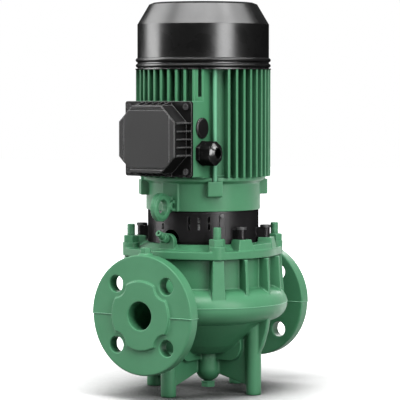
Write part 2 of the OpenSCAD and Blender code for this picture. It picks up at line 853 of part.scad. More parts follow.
module seal_spring() {
    color(steel) translate([0, 0, impeller_top + 0.1])
        coil_spring(seal_shaft_r + 3.6, 0.9, seat_z - seal_face_t - impeller_top - 3.2, 4);
}

module seal_bellows() {
    low = impeller_top;
    high = seat_z - seal_face_t;
    color(rubber) rotate_extrude() polygon([[seal_shaft_r + running_fit, low],
        [seal_shaft_r + 2, low], [seal_shaft_r + 2, high - 3], [seal_shaft_r + 5, high - 3],
        [seal_shaft_r + 5, high], [seal_shaft_r + running_fit, high]]);
}

// Lipped ring that throws off water over the seal
module water_slinger() {
    low = lantern_z - 6;
    color(rubber) rotate_extrude() polygon([[seal_shaft_r + running_fit, low],
        [seal_shaft_r + 4, low], [seal_shaft_r + 11, low + 1], [seal_shaft_r + 11, low + 2.4],
        [seal_shaft_r + 5, low + 3], [seal_shaft_r + 4, low + 7],
        [seal_shaft_r + running_fit, low + 7]]);
}

// Lantern

// Cuts the window behind one guard plate
module lantern_window(angle) {
    rotate([0, 0, angle]) translate([0, 0, lantern_z + 6]) intersection() {
        cylinder(r = 2 * lantern_r, h = lantern_h - 13);
        for (turn = [-22, 12]) rotate([0, 0, turn]) translate([-18, -2 * lantern_r, 0])
            cube([36, 2 * lantern_r, lantern_h]);
    }
}

// Arch that leaves room for the vent boss
module vent_arch(depth) {
    translate([0, -lantern_r + depth, lantern_z + 6]) rotate([90, 0, 0]) linear_extrude(4 * depth) {
        circle(r = 11);
        translate([-11, -12]) square([22, 12]);
    }
}

module lantern() {
    inner = lantern_r - lantern_wall;
    color(black) difference() {
        union() {
            ring(lantern_r, inner, lantern_h, lantern_z);
            ring(inner + 1, inner - 8, 5, lantern_z);
            ring(inner + 1, inner - 8, 5, shield_z - 5);
            for (angle = ear_angles) at_angle(angle, ear_circle_r) translate([0, 0, lug_top]) {
                cylinder(r = ear_r, h = ear_h);
                translate([-ear_r, 0, 0]) cube([2 * ear_r, ear_circle_r - lantern_r + 2, ear_h]);
            }
        }
        for (angle = [18, 198]) lantern_window(angle);
        vent_arch(lantern_wall + 6);
        for (angle = ear_angles) at_angle(angle, ear_circle_r) translate([0, 0, lug_top - 1])
            cylinder(r = ear_screw_r + seat_fit, h = ear_h + 2);
        for (angle = [-17, 53, 163, 233]) rotate([0, 0, angle])
            translate([0, -inner + 2, shield_z - 5]) rotate([90, 0, 0])
            cylinder(r = 1.5 + seat_fit, h = 20);
    }
}

module lantern_screws() {
    color(black) for (angle = ear_angles) at_angle(angle, ear_circle_r) {
        translate([0, 0, cover_top - 3]) cylinder(r = ear_screw_r, h = lug_top + ear_h - cover_top + 3);
        translate([0, 0, lug_top + ear_h]) cylinder(r = ear_head_r, h = 3);
    }
}

// Slotted sheet wrapped round one window
module guard_plate() {
    low = lantern_z + 3;
    high = shield_z - 2;
    difference() {
        ring(lantern_r + curve_gap + guard_t, lantern_r + curve_gap, high - low, low);
        for (angle = [-21, guard_angle - 201]) rotate([0, 0, angle])
            translate([-3 * lantern_r, -2 * lantern_r, 0]) cube([3 * lantern_r, 4 * lantern_r, 2 * joint_h]);
        for (angle = [10:10:50], z = [low + 14, high - 11]) rotate([0, 0, angle == 10 ? -10 : angle])
            translate([-1.2, -2 * lantern_r, z]) cube([2.4, 2 * lantern_r, 7]);
        for (angle = [-17, 53]) rotate([0, 0, angle]) translate([0, 0, shield_z - 5])
            rotate([90, 0, 0]) cylinder(r = 1.5 + seat_fit, h = 2 * lantern_r);
    }
}

module guard_plates() {
    color(black) difference() {
        for (angle = [0, 180]) rotate([0, 0, angle]) guard_plate();
        vent_arch(lantern_wall + 6);
    }
}

module guard_screws() {
    color(black) for (angle = [-17, 53, 163, 233]) rotate([0, 0, angle])
        translate([0, -lantern_r + 3, shield_z - 5]) rotate([90, 0, 0]) {
            cylinder(r = 1.5, h = 3 + curve_gap + guard_t + 0.4);
            translate([0, 0, 3 + curve_gap + guard_t + 0.4]) cylinder(r = 2.6, h = 1.4);
        }
}

// Motor

// Lug on the lower shield that takes one tie rod
module rod_lug() {
    outer = rod_circle_r + 4;
    radial_plate(lug_w, [[shield_r - 8, lug_z], [outer - 1, lug_z], [outer, lug_z + 1],
        [outer, lug_z + lug_h], [shield_r - 8, lug_z + lug_h]]);
}

// Lifting eye with the small boss beside it
module lifting_eye() {
    eye_r_out = 16.5;
    plate_t = 6;
    boss_t = plate_t + 2.8;
    chamfer = 1.2;
    translate([-lug_pad_w / 2, -shield_r - 1, shield_z])
        cube([lug_pad_w, 12, frame_z - 6 - shield_z]);
    rotate([90, 0, 90]) translate([-shield_r - 20, shield_z + 5.5, 0]) {
        difference() {
            union() {
                translate([0, 0, -plate_t / 2]) linear_extrude(plate_t) {
                    circle(r = eye_r_out);
                    polygon([[0, -12], [21, -5.4], [26, -5.4], [26, 8.5], [6, 15.3]]);
                }
                translate([0, 0, -boss_t / 2]) cylinder(r = lifting_hole_r + 5.4, h = boss_t);
                translate([19, 1, -5]) cylinder(r = 6.4, h = 11);
            }
            translate([0, 0, -20]) cylinder(r = lifting_hole_r, h = 40);
            for (turn = [0, 180]) rotate([0, turn, 0]) translate([0, 0, boss_t / 2 - chamfer])
                cylinder(r1 = lifting_hole_r, r2 = lifting_hole_r + 2 * chamfer, h = 2 * chamfer);
            translate([19, 1, 3]) cylinder(r = 3.2, h = 6);
        }
    }
}

module lower_shield() {
    seat_r = low_od / 2 + seat_fit;
    color(paint) difference() {
        union() {
            rotate_extrude() polygon([[18, shield_z + 2], [shield_r - 9, shield_z + 2],
                [shield_r - 9, shield_z], [shield_r, shield_z], [shield_r, frame_z - 7.5],
                [rod_circle_r, frame_z - 4], [rod_circle_r, frame_z],
                [tube_bore_r - curve_gap, frame_z], [tube_bore_r - curve_gap, frame_z + 4],
                [tube_bore_r - 5, frame_z + 4], [tube_bore_r - 7, low_z],
                [seat_r + 6, low_z - 2], [seat_r + 6, low_z + low_w], [18, low_z + low_w]]);
            at_diagonals(0) rod_lug();
            for (angle = [0, 180]) rotate([0, 0, angle]) lifting_eye();
        }
        translate([0, 0, low_z]) cylinder(r = seat_r, h = joint_h);
        translate([0, 0, shield_z - 1]) cylinder(r = 22, h = joint_h);
        at_diagonals(rod_circle_r) translate([0, 0, rod_z])
            cylinder(d = rod_d + 2 * seat_fit, h = frame_z);
    }
}

// Lip seal ring under the lower bearing
module shaft_ring() {
    color(rubber) rotate_extrude() polygon([[low_bore / 2 + running_fit, shield_z + 3],
        [21.7, shield_z + 3], [21.7, low_z - 0.2], [18, low_z - 0.2],
        [low_bore / 2 + 3, shield_z + 6], [low_bore / 2 + running_fit, shield_z + 5]]);
}

module tie_rods() {
    color(steel) at_diagonals(rod_circle_r)
        translate([0, 0, rod_z]) cylinder(d = rod_d, h = frame_top + rear_t - 2.2 - rod_z);
}

// Plan of the tube with all cooling fins
module fin_plan() {
    difference() {
        union() {
            circle(r = tube_r);
            for (side = [0:90:270], i = [-5:4]) if (side > 0 || i < 4)
                rotate([0, 0, side + fin_pitch * (i + 0.5)])
                translate([-fin_t / 2, -fin_r]) square([fin_t, fin_r]);
            pilaster_plan(26, 43);
        }
        circle(r = tube_bore_r);
    }
}

// Sector that fills the corner beside the terminal box, flush with the side of its base
module pilaster_plan(from, to) {
    reach = 2 * fin_r;
    intersection() {
        circle(r = fin_r - 0.4);
        polygon([[0, 0], reach * [sin(from), -cos(from)], reach * [sin(to), -cos(to)]]);
        translate([0, -reach]) square([box_w / 2, reach]);
    }
}

// Inner space of the terminal box, which leaves the motor tube whole
module box_space() {
    difference() {
        front_extrude(46, box_y + 1) box_inner_plan();
        cylinder(r = tube_r + 1, h = 2 * frame_top);
    }
}

// Front view of the box opening, with a screw boss left in each corner
module box_inner_plan() {
    difference() {
        square([box_w - 2 * box_wall, box_h - 2 * box_wall], center = true);
        for (x = [-lid_screw_x, lid_screw_x], z = [-lid_screw_z, lid_screw_z])
            translate([x, z]) circle(r = lid_screw_r + 3.2);
    }
}

module motor_frame() {
    slot_low = box_z + box_h + 5;
    color(paint) difference() {
        union() {
            translate([0, 0, frame_z]) linear_extrude(frame_l) fin_plan();
            front_extrude(46, box_y) square([box_w, box_h], center = true);
            ring(rod_circle_r - 3.5, tube_bore_r, 3, frame_z);
            ring(rod_circle_r - 3.5, tube_bore_r, 3, frame_top - 3);
        }
        translate([0, 0, frame_z - 1]) cylinder(r = tube_bore_r, h = frame_l + 2);
        box_space();
        at_diagonals(rod_circle_r) translate([0, 0, frame_z - 1])
            cylinder(d = rod_d + 2 * seat_fit, h = frame_l + 2);
        rotate([0, 0, 31.5]) translate([-2, -fin_r - 1, slot_low])
            cube([4, 11, frame_top - slot_low + 1]);
        translate([box_w / 2 - box_wall - 1, -gland_y, gland_z]) rotate([0, 90, 0])
            cylinder(d = gland_hole_d + 2 * seat_fit, h = box_wall + 2);
        translate([box_w / 2 - box_wall - 1, -gland_y, plug_z]) rotate([0, 90, 0])
            cylinder(d = gland_hole_d + 2 * seat_fit, h = box_wall + 2);
        at_lid_screws() rotate([90, 0, 0]) translate([0, 0, -11])
            cylinder(r = lid_screw_r + seat_fit, h = 12);
        for (x = [-board_screw_x, board_screw_x]) translate([x, -tube_r + 2, box_mid]) rotate([90, 0, 0])
            cylinder(r = 2 + seat_fit, h = 20);
    }
}

module stator_core() {
    color(steel) translate([0, 0, stack_z]) linear_extrude(stack_l) difference() {
        circle(r = tube_bore_r - seat_fit);
        circle(r = rotor_r + air_gap);
        for (i = [0:23]) rotate([0, 0, 15 * i]) translate([-2.5, rotor_r + air_gap + 2]) square([5, 12]);
    }
}

// Copper in the slots with the two end turns
module stator_windings() {
    inner = rotor_r + air_gap + 2.4;
    color(copper) {
        for (i = [0:23]) rotate([0, 0, 15 * i]) translate([-2.3, inner, stack_z - 1])
            cube([4.6, 11, stack_l + 2]);
        for (z = [stack_z - winding_h, stack_top]) translate([0, 0, z]) rotate_extrude() {
            translate([inner + 2, 0]) square([11, winding_h]);
            translate([inner, 2]) square([15, winding_h - 4]);
        }
    }
}

module rotor_core() {
    color(steel) {
        ring(rotor_r, low_bore / 2 + 1.5 + seat_fit, stack_l, stack_z);
        ring(rotor_r - 3, rotor_r - 12, stack_l + 2 * ring_h, stack_z - ring_h);
    }
}

module motor_shaft() {
    rotor_shaft_r = low_bore / 2 + 1.5;
    color(steel) {
        translate([0, 0, motor_end_z]) cylinder(d = motor_end_d, h = sleeve_top - motor_end_z + 1);
        translate([0, 0, sleeve_top + 1]) cylinder(d = low_bore, h = low_z + low_w - sleeve_top);
        translate([0, 0, low_z + low_w + seat_fit]) cylinder(r = rotor_shaft_r,
            h = high_z - high_w - low_z - low_w - 2 * seat_fit);
        translate([0, 0, high_z - high_w - 1]) cylinder(d = high_bore, h = fan_z - high_z + high_w + 1);
        difference() {
            translate([0, 0, fan_z]) cylinder(r = fan_bore_r, h = shaft_top - fan_z);
            ring(fan_bore_r + 1, fan_bore_r - 1, fan_clip_t + 0.2, fan_clip_z - 0.1);
        }
    }
}

// Ball bearings

// Half section of one race with its ball groove
module race(inner_r, outer_r, ball_ring_r, ball_r, width) {
    rotate_extrude() difference() {
        translate([inner_r, 0]) square([outer_r - inner_r, width]);
        translate([ball_ring_r, width / 2]) circle(r = ball_r + 0.08);
    }
}

function ring_mid(bore, od) = (bore + od) / 4;
function ball_size(bore, od) = (od - bore) * 0.145;

module outer_race(bore, od, width) {
    ball_r = ball_size(bore, od);
    race(ring_mid(bore, od) + 0.5 * ball_r, od / 2, ring_mid(bore, od), ball_r, width);
}

module inner_race(bore, od, width) {
    ball_r = ball_size(bore, od);
    race(bore / 2 + seat_fit, ring_mid(bore, od) - 0.5 * ball_r, ring_mid(bore, od), ball_r, width);
}

// Balls held by one thin cage
module ball_set(bore, od, width) {
    ball_r = ball_size(bore, od);
    mid = ring_mid(bore, od);
    translate([0, 0, width / 2]) {
        for (i = [0:ball_count - 1]) rotate([0, 0, 360 / ball_count * i]) translate([mid, 0, 0])
            sphere(r = ball_r);
        difference() {
            ring(mid + 1, mid - 1, 1.1 * ball_r, -0.55 * ball_r);
            for (i = [0:ball_count - 1]) rotate([0, 0, 360 / ball_count * i])
                translate([mid, 0, 0]) sphere(r = ball_r - 0.3);
        }
    }
}

module lower_outer_race() {
    color(steel) translate([0, 0, low_z]) outer_race(low_bore, low_od, low_w);
}

module lower_inner_race() {
    color(steel) translate([0, 0, low_z]) inner_race(low_bore, low_od, low_w);
}

module lower_balls() {
    color(steel) translate([0, 0, low_z]) ball_set(low_bore, low_od, low_w);
}

module upper_outer_race() {
    color(steel) translate([0, 0, high_z - high_w]) outer_race(high_bore, high_od, high_w);
}

module upper_inner_race() {
    color(steel) translate([0, 0, high_z - high_w]) inner_race(high_bore, high_od, high_w);
}

module upper_balls() {
    color(steel) translate([0, 0, high_z - high_w]) ball_set(high_bore, high_od, high_w);
}

// Coned washer that loads the upper bearing
module spring_washer() {
    color(steel) translate([0, 0, high_z]) rotate_extrude() polygon([[high_od / 2 - 1, 0],
        [high_od / 2 - 0.6, 0.8], [high_od / 2 - 6, 1.9], [high_od / 2 - 6.4, 1.1]]);
}

// Shield at the fan end, which the fan cover snaps on
module upper_shield() {
    seat_r = high_od / 2 + seat_fit;
    cap_z = high_z + 2;
    color(paint) difference() {
        rotate_extrude() polygon([[seat_r - 8, cap_z], [seat_r - 8, cap_z + 3],
            [seat_r + 5, cap_z + 3], [seat_r + 8, frame_top + rear_t],
            [rear_r - 4, frame_top + rear_t], [rear_r, frame_top + rear_t - 2], [rear_r, frame_top],
            [tube_bore_r - curve_gap, frame_top], [tube_bore_r - curve_gap, frame_top - 4],
            [tube_bore_r - 5, frame_top - 4], [tube_bore_r - 6, frame_top + 3],
            [seat_r + 7, frame_top + 2], [seat_r + 5, high_z - high_w], [seat_r, high_z - high_w],
            [seat_r, cap_z]]);
        at_diagonals(rod_circle_r) translate([0, 0, frame_top - 1])
            cylinder(d = rod_d + 2 * seat_fit, h = rear_t - 1);
    }
}

module cooling_fan() {
    color(black) {
        ring(fan_hub_r, fan_bore_r + seat_fit, fan_hub_h, fan_z);
        ring(fan_r, fan_hub_r - 1, 2, fan_z);
        for (i = [0:fan_blades - 1]) rotate([0, 0, 360 / fan_blades * i])
            radial_plate(2, [[fan_hub_r - 1, fan_z], [fan_r, fan_z], [fan_r, fan_z + 20],
                [fan_hub_r + 10, fan_z + 26], [fan_hub_r - 1, fan_z + fan_hub_h]]);
    }
}

// Snap ring in its shaft groove
module fan_clip() {
    color(steel) translate([0, 0, fan_clip_z]) linear_extrude(fan_clip_t) difference() {
        circle(r = fan_bore_r + 2.6);
        circle(r = fan_bore_r - 1 + seat_fit);
        translate([-3, 0]) square([6, 2 * fan_bore_r]);
    }
}

// Section of the fan cover: lip, two beads, wall, cone and top
// Half outline of a rolled bead on the cover's wall, from its top down
function bead(z, r) = concat([[fan_cover_r, z + r]],
    [for (angle = [60:-30:-60]) [fan_cover_r - 0.3 + r * cos(angle), z + r * sin(angle)]],
    [[fan_cover_r, z - r]]);

module fan_cover_section() {
    base = frame_top;
    top = frame_top + fan_cover_h;
    wall = fan_cover_wall;
    outer = fan_cover_r;
    shoulder = frame_top + 53.3;
    top_r = outer - 14;
    difference() {
        polygon(concat([[0, top], [top_r - 5, top], [top_r, top - 2], [outer, shoulder]],
            bead(base + 11.1, 2.5), bead(base + 4.6, 2.4),
            [[outer, base + 1.2], [outer + 2.5, base + 1.2], [outer + 2.5, base], [0, base]]));
        polygon([[0, top - wall], [top_r - 5.4, top - wall], [top_r - 2, top - wall - 1.6],
            [outer - wall, shoulder], [outer - wall, base - 1], [0, base - 1]]);
        translate([-outer, base - 1]) square([outer, 2 * fan_cover_h]);
    }
}

// Air inlet rings between the spokes of the fan cover
module inlet_slots() {
    difference() {
        for (i = [0:5]) ring(16 + 7 * i, 12 + 7 * i, 10, frame_top + fan_cover_h - 5);
        for (angle = [0:45:135]) rotate([0, 0, angle]) translate([-1.6, -fan_cover_r, frame_top])
            cube([3.2, 2 * fan_cover_r, fan_cover_h]);
    }
}

module fan_cover() {
    color(black) difference() {
        rotate_extrude() fan_cover_section();
        inlet_slots();
    }
}

// Terminal box

module at_lid_screws() {
    for (x = [-lid_screw_x, lid_screw_x], z = [-lid_screw_z, lid_screw_z])
        translate([x, -box_y, box_mid + z]) children();
}

// Rounded rectangle about the box centre, as seen from the front
module rounded_plan(width, height, corner) {
    for (x = [-1, 1], y = [-1, 1]) translate([x * (width / 2 - corner), y * (height / 2 - corner)])
        circle(r = corner);
    square([width - 2 * corner, height], center = true);
    square([width, height - 2 * corner], center = true);
}

// Extrudes a front view away from the motor, from one depth to another
module front_extrude(from, to) {
    translate([0, -from, box_mid]) rotate([90, 0, 0]) linear_extrude(to - from) children();
}

module lid_gasket() {
    color(rubber) difference() {
        front_extrude(box_y, lid_y) difference() {
            square([box_w - 1, box_h - 1], center = true);
            box_inner_plan();
        }
        at_lid_screws() rotate([90, 0, 0]) translate([0, 0, -1]) cylinder(r = lid_screw_r + 0.4, h = 4);
    }
}

// Square plan with its corners cut off
module octagon_plan(width, height, corner) {
    x = width / 2;
    y = height / 2;
    polygon([[-x, corner - y], [corner - x, -y], [x - corner, -y], [x, corner - y],
        [x, y - corner], [x - corner, y], [corner - x, y], [-x, y - corner]]);
}

// Thin gussets between the raised octagon and the rim
module lid_ribs(face_half, rim_half) {
    span = lid_face_w - 2 * lid_corner - 4;
    front = lid_y + lid_depth - 4;
    back = lid_y + lid_rim_t - 0.5;
    for (i = [0:lid_rib_count - 1]) translate([0, 0, span * (i / (lid_rib_count - 1) - 0.5) - 0.6])
        linear_extrude(1.2) polygon([[face_half - 1, -front], [face_half, -front],
            [rim_half - 0.6, -back - 4], [rim_half - 0.6, -back], [face_half - 1, -back]]);
}

module terminal_lid() {
    face_h = lid_face_w - 1;
    rim_h = box_h;
    color(black) difference() {
        union() {
            front_extrude(lid_y, lid_y + lid_rim_t) rounded_plan(lid_w, rim_h, 3);
            front_extrude(lid_y, lid_y + lid_depth - 1)
                octagon_plan(lid_face_w, face_h, lid_corner);
            front_extrude(lid_y, lid_y + lid_depth)
                octagon_plan(lid_face_w - 2, face_h - 2, lid_corner - 0.6);
            translate([0, 0, box_mid]) for (turn = [0, 180]) {
                rotate([0, turn, 0]) lid_ribs(lid_face_w / 2, lid_w / 2);
                rotate([0, turn + 90, 0]) lid_ribs(face_h / 2, rim_h / 2);
            }
        }
        front_extrude(lid_y - 1, lid_y + lid_depth - lid_wall)
            octagon_plan(lid_face_w - 2 * lid_wall, face_h - 2 * lid_wall, lid_corner - 1);
        front_extrude(lid_y + lid_depth - 0.6, lid_y + lid_depth + 1) difference() {
            square([lid_face_w - 14, face_h - 8], center = true);
            square([lid_face_w - 16, face_h - 12], center = true);
        }
        at_lid_screws() rotate([90, 0, 0]) cylinder(r = lid_screw_r + 0.2, h = 20);
    }
}

module lid_screws() {
    head_z = lid_y - box_y + lid_rim_t;
    color(black) at_lid_screws() rotate([90, 0, 0]) difference() {
        union() {
            translate([0, 0, -9]) cylinder(r = lid_screw_r, h = head_z + 9);
            translate([0, 0, head_z]) cylinder(r = 3.6, h = 2.4);
        }
        translate([-3, -0.5, head_z + 1.4]) cube([6, 1, 2]);
        translate([-0.5, -3, head_z + 1.4]) cube([1, 6, 2]);
    }
}

// Moulded board with six raised seats
module terminal_board() {
    color([0.55, 0.2, 0.12]) difference() {
        front_extrude(tube_r + 1, tube_r + 1 + board_t) rounded_plan(board_w, board_h, 4);
        for (x = [-board_screw_x, board_screw_x]) translate([x, -tube_r, box_mid]) rotate([90, 0, 0])
            cylinder(r = 2.2, h = 20);
        at_terminals() cylinder(r = 2 + seat_fit, h = 20);
        translate([0, 0, box_mid - board_h]) cylinder(r = tube_r + 1, h = 2 * board_h);
    }
}

module at_terminals() {
    for (x = [-18, 0, 18], z = [-12, 12]) translate([x, -tube_r - 1, box_mid + z])
        rotate([90, 0, 0]) children();
}

module terminal_studs() {
    color(bronze) {
        at_terminals() {
            translate([0, 0, 0.4]) cylinder(r = 2, h = 15);
            translate([0, 0, 6.2]) hexagon(7, 3);
        }
        translate([-22, -tube_r - 7.2, box_mid - 16]) cube([44, 1.2, 8]);
        for (x = [-board_screw_x, board_screw_x]) translate([x, -tube_r - 1 - board_t, box_mid]) rotate([90, 0, 0]) {
            translate([0, 0, -7]) cylinder(r = 2, h = 7);
            cylinder(r = 3.6, h = 2.4);
        }
    }
}

// Turns local +Z to +X on the cable side of the box
module cable_side(z) {
    translate([box_w / 2, -gland_y, z]) rotate([0, 90, 0]) children();
}

module gland_body() {
    color(black) cable_side(gland_z) difference() {
        union() {
            hexagon(gland_af, 5);
            translate([0, 0, -box_wall - 1]) cylinder(d = gland_hole_d, h = box_wall + 1);
            translate([0, 0, 5]) cylinder(d = gland_hole_d - 2, h = 4);
        }
        translate([0, 0, -box_wall - 2]) cylinder(d = cable_bore_d + 3, h = 30);
    }
}

module gland_nut() {
    base = 5.4;
    color(black) cable_side(gland_z) difference() {
        union() {
            intersection() {
                translate([0, 0, base]) hexagon(gland_af + 1, gland_nut_l - 3);
                translate([0, 0, base]) cylinder(d = gland_af + 3.2, h = gland_nut_l);
            }
            translate([0, 0, base]) cylinder(d = gland_af + 1.4, h = 4);
            translate([0, 0, base + gland_nut_l - 3.02])
                cylinder(d1 = gland_af, d2 = gland_af - 4, h = 1.6);
            translate([0, 0, base + gland_nut_l - 1.42])
                cylinder(d1 = gland_af - 4, d2 = gland_af - 9, h = 2.4);
        }
        translate([0, 0, base - 1]) cylinder(d = gland_hole_d - 2 + 2 * running_fit, h = 5);
        translate([0, 0, base - 1]) cylinder(d = cable_bore_d + 4, h = gland_nut_l);
        translate([0, 0, base]) cylinder(d = cable_bore_d + 1, h = 2 * gland_nut_l);
    }
}

module gland_seal() {
    color(rubber) cable_side(gland_z) translate([0, 0, -2])
        ring(cable_bore_d / 2 + 1.2, cable_bore_d / 2 - 1, 14);
}

module blanking_plug() {
    color(black) cable_side(plug_z) difference() {
        union() {
            cylinder(d = plug_d, h = 1.6);
            translate([0, 0, 1.6]) cylinder(d1 = plug_d, d2 = plug_d - 3, h = 1);
            translate([0, 0, -box_wall - 1]) cylinder(d = gland_hole_d, h = box_wall + 1);
        }
        translate([0, 0, -box_wall - 2]) cylinder(d = gland_hole_d - 4, h = box_wall + 1);
    }
}

pump_housing();
drain_plug();
tap_plugs();
wear_ring();
cover_gasket();
casing_cover();
cover_studs();
cover_nuts();
vent_nipple();
impeller();
impeller_nut();
pump_shaft();
shaft_clamp_screws();
seal_seat();
seal_face();
seal_spring();
seal_bellows();
water_slinger();
lantern();
lantern_screws();
guard_plates();
guard_screws();
lower_shield();
shaft_ring();
tie_rods();
motor_frame();
stator_core();
stator_windings();
rotor_core();
motor_shaft();
lower_outer_race();
lower_inner_race();
lower_balls();
upper_outer_race();
upper_inner_race();
upper_balls();
spring_washer();
upper_shield();
cooling_fan();
fan_clip();
fan_cover();
lid_gasket();
terminal_lid();
lid_screws();
terminal_board();
terminal_studs();
gland_body();
gland_nut();
gland_seal();
blanking_plug();
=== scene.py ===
import bpy
import bmesh
import json
import math
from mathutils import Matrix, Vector


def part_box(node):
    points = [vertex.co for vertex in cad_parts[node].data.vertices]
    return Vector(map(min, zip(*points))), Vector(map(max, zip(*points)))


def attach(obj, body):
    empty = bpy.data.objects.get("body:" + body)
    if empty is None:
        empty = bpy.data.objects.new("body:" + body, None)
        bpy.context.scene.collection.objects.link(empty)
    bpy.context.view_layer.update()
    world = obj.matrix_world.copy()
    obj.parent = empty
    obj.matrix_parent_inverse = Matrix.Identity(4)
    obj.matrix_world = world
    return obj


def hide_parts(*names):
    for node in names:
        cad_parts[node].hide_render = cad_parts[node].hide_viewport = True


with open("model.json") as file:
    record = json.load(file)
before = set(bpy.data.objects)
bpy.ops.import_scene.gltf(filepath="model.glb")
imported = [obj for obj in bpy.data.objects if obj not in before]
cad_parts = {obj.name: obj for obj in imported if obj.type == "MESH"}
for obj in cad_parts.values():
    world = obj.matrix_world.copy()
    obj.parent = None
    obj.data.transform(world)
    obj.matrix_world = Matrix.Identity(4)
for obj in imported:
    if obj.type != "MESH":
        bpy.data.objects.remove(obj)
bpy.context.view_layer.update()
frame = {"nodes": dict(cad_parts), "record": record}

scene = bpy.context.scene
scene.view_settings.view_transform = "Standard"
cad = frame["nodes"]
slotOf = {s["node"]: s["material_slot"] for s in frame["record"]["subparts"]}
mounts = {m["name"]: m for m in frame["record"]["mounts"]}
mm = 0.001
print("frame loaded:", len(cad), "nodes")


# Camera, as in the photograph: a long lens a little above the flanges

cameraValues = {
    "lens": 190.2,
    "sensor": 36,
    "farEnd": 50,
    "spot": (1.4207, -2.0801, 0.3628),
    "tiltDown": 3.07,
    "turn": 34.42,
}


def placeCamera(v):
    data = bpy.data.cameras.new("camera")
    data.lens = v["lens"]
    data.sensor_width = v["sensor"]
    data.clip_end = v["farEnd"]
    camera = bpy.data.objects.new("camera", data)
    camera.location = v["spot"]
    camera.rotation_euler = (math.radians(90 - v["tiltDown"]), 0, math.radians(v["turn"]))
    scene.collection.objects.link(camera)
    scene.camera = camera


placeCamera(cameraValues)
print("camera placed")


# Small steps that the finishes and the floor share; sizes in metres

raySamples = 4      # rays that look for a corner or an edge at each point


def addPlace(tree, stretch=(1, 1, 1)):
    place = tree.nodes.new("ShaderNodeTexCoord")
    scale = tree.nodes.new("ShaderNodeMapping")
    scale.inputs["Scale"].default_value = stretch
    tree.links.new(place.outputs["Object"], scale.inputs["Vector"])
    return scale.outputs["Vector"]


def addNoise(tree, place, size, detail, rough=0.55):
    noise = tree.nodes.new("ShaderNodeTexNoise")
    noise.inputs["Scale"].default_value = 1 / size
    noise.inputs["Detail"].default_value = detail
    noise.inputs["Roughness"].default_value = rough
    tree.links.new(place, noise.inputs["Vector"])
    return noise.outputs["Fac"]


def addRange(tree, value, low, high, fromLow=0.3, fromHigh=0.7):
    # the default start and end are where a noise has most of its values
    spread = tree.nodes.new("ShaderNodeMapRange")
    spread.inputs["From Min"].default_value = fromLow
    spread.inputs["From Max"].default_value = fromHigh
    spread.inputs["To Min"].default_value = low
    spread.inputs["To Max"].default_value = high
    tree.links.new(value, spread.inputs["Value"])
    return spread.outputs["Result"]


def addMath(tree, operation, first, second):
    step = tree.nodes.new("ShaderNodeMath")
    step.operation = operation
    tree.links.new(first, step.inputs[0])
    tree.links.new(second, step.inputs[1])
    return step


def addBlend(tree, share, first, second):
    # each tone is a plain colour or another node's output; a colour mix has its
    # two colours at inputs 6 and 7 and gives its result at output 2
    blend = tree.nodes.new("ShaderNodeMix")
    blend.data_type = "RGBA"
    for socket, tone in ((blend.inputs[6], first), (blend.inputs[7], second)):
        if isinstance(tone, tuple):
            socket.default_value = (*tone, 1)
        else:
            tree.links.new(tone, socket)
    tree.links.new(share, blend.inputs[0])
    return blend.outputs[2]


def addBump(tree, height, depth, strength, normal=None):
    bump = tree.nodes.new("ShaderNodeBump")
    bump.inputs["Distance"].default_value = depth
    bump.inputs["Strength"].default_value = strength
    tree.links.new(height, bump.inputs["Height"])
    if normal is not None:
        tree.links.new(normal, bump.inputs["Normal"])
    return bump.outputs["Normal"]


def addCavity(tree, reach):
    # 1 in the open, towards 0 in a corner
    hollow = tree.nodes.new("ShaderNodeAmbientOcclusion")
    hollow.samples = raySamples
    hollow.inputs["Distance"].default_value = reach
    return hollow.outputs["AO"]


def addSeen(tree):
    # 1 where the camera, a reflection or a see-through ray looks, otherwise 0
    path = tree.nodes.new("ShaderNodeLightPath")
    total = path.outputs["Is Camera Ray"]
    for ray in ("Is Glossy Ray", "Is Transmission Ray"):
        add = addMath(tree, "ADD", total, path.outputs[ray])
        add.use_clamp = True
        total = add.outputs[0]
    return total


def addTogether(tree, first, second):
    add = tree.nodes.new("ShaderNodeAddShader")
    tree.links.new(first.outputs[0], add.inputs[0])
    tree.links.new(second.outputs[0], add.inputs[1])
    tree.links.new(add.outputs[0], tree.nodes["Material Output"].inputs["Surface"])


# Studio: white surroundings, soft lamps and white paper under the pump

studioValues = {
    "worldLevel": 0.22,
    "aim": (0, 0, 0.25),    # half way up the pump
    "lamps": [
        # name, place, size across and up, watts
        ("rightLamp", (1.966, -0.639, 1.0), 0.9, 1.6, 45),
        ("leftLamp", (-1.85, -1.0, 1.05), 0.8, 1.5, 38),
        ("topLamp", (0.45, -0.9, 2.2), 1.6, 1.1, 62),
        ("backLamp", (-0.7, 2.0, 1.3), 1.4, 1.2, 28),
    ],
    # these shine on the black coatings alone and draw their long highlights
    "strips": [
        ("rightStrip", (1.966, -0.639, 0.55), 1.0, 1.5, 680),
        ("leftStrip", (-1.84, -0.9, 0.55), 1.2, 1.5, 820),
        ("crownStrip", (0.51, -0.75, 2.23), 3.4, 1.1, 1300),
        ("crownLeft", (-1.55, -0.15, 1.85), 1.6, 1.4, 900),
        ("crownRight", (1.05, 0.75, 1.9), 1.2, 1.2, 400),
    ],
}


def addLamp(name, place, across, up, watts, aim):
    data = bpy.data.lights.new(name, "AREA")
    data.shape = "RECTANGLE"
    data.size = across
    data.size_y = up
    data.energy = watts
    lamp = bpy.data.objects.new(name, data)
    lamp.location = place
    lamp.rotation_euler = (Vector(aim) - lamp.location).to_track_quat("-Z", "Y").to_euler()
    scene.collection.objects.link(lamp)
    return lamp


